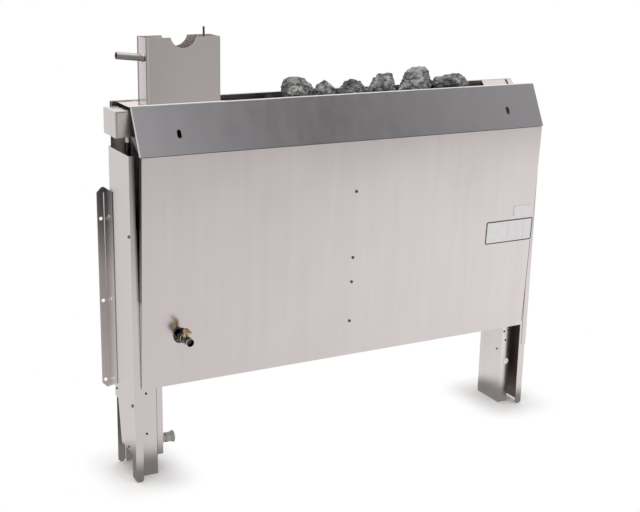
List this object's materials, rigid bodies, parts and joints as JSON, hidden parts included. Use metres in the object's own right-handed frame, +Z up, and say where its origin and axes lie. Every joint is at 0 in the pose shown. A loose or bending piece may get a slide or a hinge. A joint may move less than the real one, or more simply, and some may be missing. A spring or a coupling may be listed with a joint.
{
  "type": "sauna heater",
  "caption": "Slim wall-side electric sauna heater in folded stainless sheet, with stones over heating elements, a steam tank with a lift-off steam head, and a drain tap.",
  "frame": {"origin": "on the floor, midway between the outer edges of the two wall brackets and midway between the drain tap's mouth and the wall", "axes": "+X along the front panel to the right as seen from the front, +Y from the front towards the wall, +Z up"},
  "size_m": [1.0722, 0.2226, 0.9676],
  "materials": {
    "brushed_steel": "satin stainless sheet, faint grain along its length",
    "bright_steel": "mill-finish stainless sheet",
    "element_steel": "dark heat-tinted steel",
    "screw_steel": "plated steel",
    "chrome": "polished chrome plate",
    "brass": "bare brass",
    "copper": "reddish sheath",
    "red_silicone": "matt silicone insulation",
    "ceramic": "unglazed white ceramic",
    "grey_plastic": "moulded grey plastic",
    "white_plastic": "moulded white plastic",
    "black_plastic": "moulded black plastic",
    "wire_black": "sleeved wire bundle",
    "plate_white": "blank printed plate, pale with a dark edge line",
    "stone": "rough broken stone, mottled grey"
  },
  "bodies": {
    "heater": {"cable_gland": "grey_plastic", "ceramic_sleeve": "ceramic", "chamber_end_left": "bright_steel", "chamber_end_right": "bright_steel", "connection_box": "brushed_steel", "connection_box_lid": "brushed_steel", "drain_pipe": "chrome", "element_support": "bright_steel", "end_cover_left": "brushed_steel", "end_cover_right": "brushed_steel", "end_cover_screw_left_lower": "screw_steel", "end_cover_screw_left_upper": "screw_steel", "end_cover_screw_right_lower": "screw_steel", "end_cover_screw_right_upper": "screw_steel", "front_bottom_rail": "bright_steel", "front_liner": "bright_steel", "front_panel": "brushed_steel", "gland_nut": "grey_plastic", "heater_lead": "red_silicone", "heating_element_1": "element_steel", "heating_element_2": "element_steel", "heating_element_3": "element_steel", "hole_plug": "white_plastic", "inner_leg_left": "brushed_steel", "inner_leg_right": "brushed_steel", "leg_post_left": "brushed_steel", "leg_post_right": "brushed_steel", "panel_screw_1": "screw_steel", "panel_screw_2": "screw_steel", "panel_screw_3": "screw_steel", "panel_screw_4": "screw_steel", "panel_stiffener": "bright_steel", "probe_rod": "copper", "rating_plate": "plate_white", "rear_bottom_rail": "bright_steel", "rear_liner": "bright_steel", "rear_wall": "bright_steel", "small_plate": "plate_white", "steam_tank": "bright_steel", "stone_1": "stone", "stone_2": "stone", "stone_3": "stone", "stone_4": "stone", "stone_5": "stone", "stone_6": "stone", "stone_grate": "element_steel", "tank_element": "element_steel", "tap_body": "chrome", "terminal_block": "black_plastic", "terminal_cover": "brushed_steel", "top_cover": "bright_steel", "top_hood": "brushed_steel", "wall_bracket_left": "brushed_steel", "wall_bracket_right": "brushed_steel", "wiring_loom": "wire_black"},
    "steam_head": {"steam_head": "brushed_steel", "water_inlet_tube": "bright_steel"},
    "drain_handle": {"tap_handle": "brass", "tap_ball": "bright_steel"}
  },
  "joints": [
    {"name": "steam_head_lift", "type": "slide", "parent": "heater", "child": "steam_head", "axis": [0, 0, 1], "range_m": [0, 0.16]},
    {"name": "drain_handle_turn", "type": "hinge", "parent": "heater", "child": "drain_handle", "pos_m": [-0.41475, -0.08634, 0.328], "axis": [0, 0, 1], "range_deg": [0, 90]}
  ]
}
